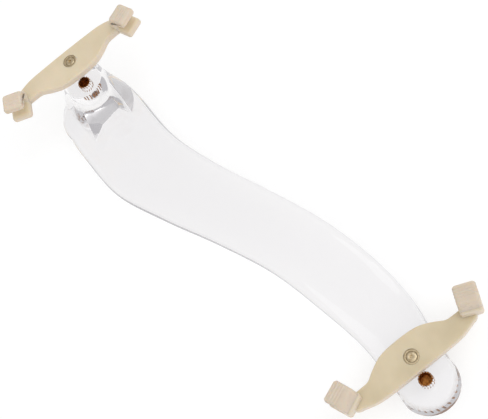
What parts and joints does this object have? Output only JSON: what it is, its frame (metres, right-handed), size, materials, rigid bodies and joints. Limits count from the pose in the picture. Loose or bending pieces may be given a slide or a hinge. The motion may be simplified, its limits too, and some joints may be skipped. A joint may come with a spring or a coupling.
{
  "type": "violin shoulder rest",
  "caption": "Clear S-shaped shoulder rest for a violin, with a tall tower at one end, a low boss at the other, and a screw-in two-clawed fork on each.",
  "frame": {"origin": "on the table, at the bottom centre of the box round the whole rest", "axes": "+X along the bar from the tower to the boss, +Z from the shoulder to the instrument, +Y to the far side"},
  "size_m": [0.242, 0.0774, 0.0445],
  "materials": {
    "clear_acrylic": "clear polished acrylic",
    "brass": "knurled and threaded brass, a little dark",
    "ivory_plastic": "moulded ivory plastic, satin and slightly translucent",
    "collar_metal": "knurled ring seen through the moulding",
    "stud_metal": "threaded stud with a turned end",
    "grip_rubber": "pale soft rubber sleeve"
  },
  "bodies": {
    "rest_body": {"body": "clear_acrylic", "insert_tower_outer": "brass", "insert_tower_inner": "brass", "insert_boss_inner": "brass", "insert_boss_outer": "brass"},
    "tower_screw": {"stud_tower": "stud_metal"},
    "tower_fork": {"fork_tower": "ivory_plastic", "collar_tower": "collar_metal", "grip_tower_near": "grip_rubber", "grip_tower_far": "grip_rubber"},
    "boss_screw": {"stud_boss": "stud_metal"},
    "boss_fork": {"fork_boss": "ivory_plastic", "collar_boss": "collar_metal", "grip_boss_near": "grip_rubber", "grip_boss_far": "grip_rubber"}
  },
  "joints": [
    {"name": "tower_fork_rise", "type": "slide", "parent": "rest_body", "child": "tower_screw", "axis": [0, 0, 1], "range_m": [-0.0029, 0.0027]},
    {"name": "tower_fork_turn", "type": "hinge", "parent": "tower_screw", "child": "tower_fork", "pos_m": [-0.1107, 0, 0.0285], "axis": [0, 0, 1], "range_deg": [-1290, 1170]},
    {"name": "boss_fork_rise", "type": "slide", "parent": "rest_body", "child": "boss_screw", "axis": [0, 0, 1], "range_m": [-0.0005, 0.0045]},
    {"name": "boss_fork_turn", "type": "hinge", "parent": "boss_screw", "child": "boss_fork", "pos_m": [0.0993, 0, 0.0105], "axis": [0, 0, 1], "range_deg": [-220, 1980]}
  ],
  "couplings": [
    {"joint": "tower_fork_rise", "follows": "tower_fork_turn", "m_per_rad": 0.00012732},
    {"joint": "boss_fork_rise", "follows": "boss_fork_turn", "m_per_rad": 0.00012732}
  ]
}
